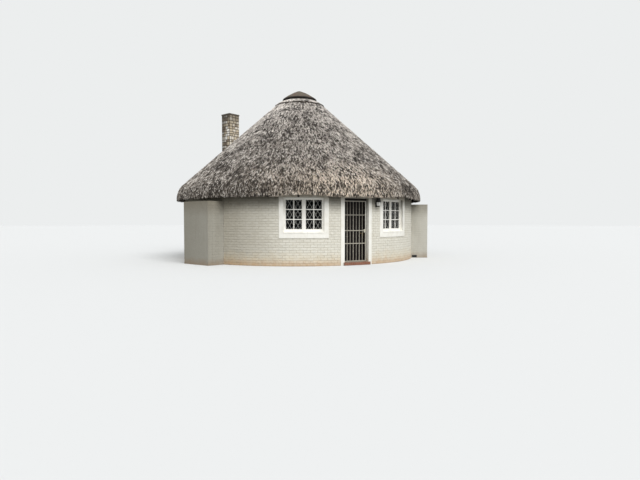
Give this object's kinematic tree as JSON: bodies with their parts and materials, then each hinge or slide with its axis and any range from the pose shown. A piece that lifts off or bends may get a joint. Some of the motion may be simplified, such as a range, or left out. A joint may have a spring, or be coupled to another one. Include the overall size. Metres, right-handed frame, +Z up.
{
  "type": "thatched rondavel hut",
  "caption": "Round one-room hut of painted brick under a thatched cone roof, with a panelled door, a barred security gate, windows, a chimney and short link passages",
  "frame": {"origin": "on the ground at the centre of the round room", "axes": "+Z up; the front door faces -Y, so +X is to the right of someone who looks at the door"},
  "size_m": [9.8941, 9.78, 6.7996],
  "materials": {
    "painted_brick": "bagged and painted brickwork, off-white, stained near the ground",
    "link_plaster": "painted plaster, smooth, off-white",
    "white_plaster": "painted plaster band, white",
    "thatch": "weathered grass thatch, grey-brown with straw flecks",
    "ridge_mortar": "trowelled mortar, brown, with lichen",
    "roof_pole": "dark treated gum pole",
    "white_timber": "gloss painted timber, white",
    "door_timber": "dark varnished hardwood",
    "gate_steel": "brushed-on enamel, cream",
    "hinge_steel": "painted over, cream",
    "handle_brass": "dulled brass",
    "window_glass": "clear float glass",
    "chimney_stone": "pale roughly squared stone, dark joints, sooty top",
    "floor_concrete": "polished concrete, dull",
    "step_brick": "red clay brick on edge",
    "lantern_metal": "black powder coat",
    "lantern_glass": "frosted glass"
  },
  "bodies": {
    "hut": {"apex_ring": "roof_pole", "chimney_cap": "chimney_stone", "chimney_stack": "chimney_stone", "door_frame": "door_timber", "door_hinge_pins": "hinge_steel", "door_step": "step_brick", "door_surround": "white_plaster", "floor_slab": "floor_concrete", "gate_hinge_pins": "gate_steel", "lantern_bracket": "lantern_metal", "lantern_glass": "lantern_glass", "lantern_roof": "lantern_metal", "link_floors": "floor_concrete", "link_left_party_wall": "link_plaster", "link_left_roof": "link_plaster", "link_left_walls": "link_plaster", "link_right_party_wall": "link_plaster", "link_right_roof": "link_plaster", "link_right_walls": "link_plaster", "opening_head_walls": "painted_brick", "rafters": "roof_pole", "ridge_cap": "ridge_mortar", "thatch_collar": "ridge_mortar", "thatch_cone": "thatch", "wall_back": "painted_brick", "wall_back_left": "painted_brick", "wall_back_right": "painted_brick", "wall_door_left": "painted_brick", "wall_door_right": "painted_brick", "wall_front_left": "painted_brick", "wall_front_right": "painted_brick", "wall_left": "painted_brick", "wall_plate": "roof_pole", "wall_right": "painted_brick", "wall_top_fill": "painted_brick", "window_breast_walls": "painted_brick", "window_frames": "white_timber", "window_panes": "window_glass", "window_sashes": "white_timber", "window_sills": "white_plaster", "window_surrounds": "white_plaster"},
    "door": {"door_leaf": "door_timber", "door_handle": "handle_brass", "door_hinge_straps": "hinge_steel"},
    "gate": {"security_gate": "gate_steel"}
  },
  "joints": [
    {"name": "door_hinge", "type": "hinge", "parent": "hut", "child": "door", "pos_m": [-0.40725, -4.28618, 1.1], "axis": [0, 0, 1], "range_deg": [0, 90]},
    {"name": "gate_hinge", "type": "hinge", "parent": "hut", "child": "gate", "pos_m": [-0.45, -4.41618, 1.1], "axis": [0, 0, -1], "range_deg": [0, 90]}
  ]
}
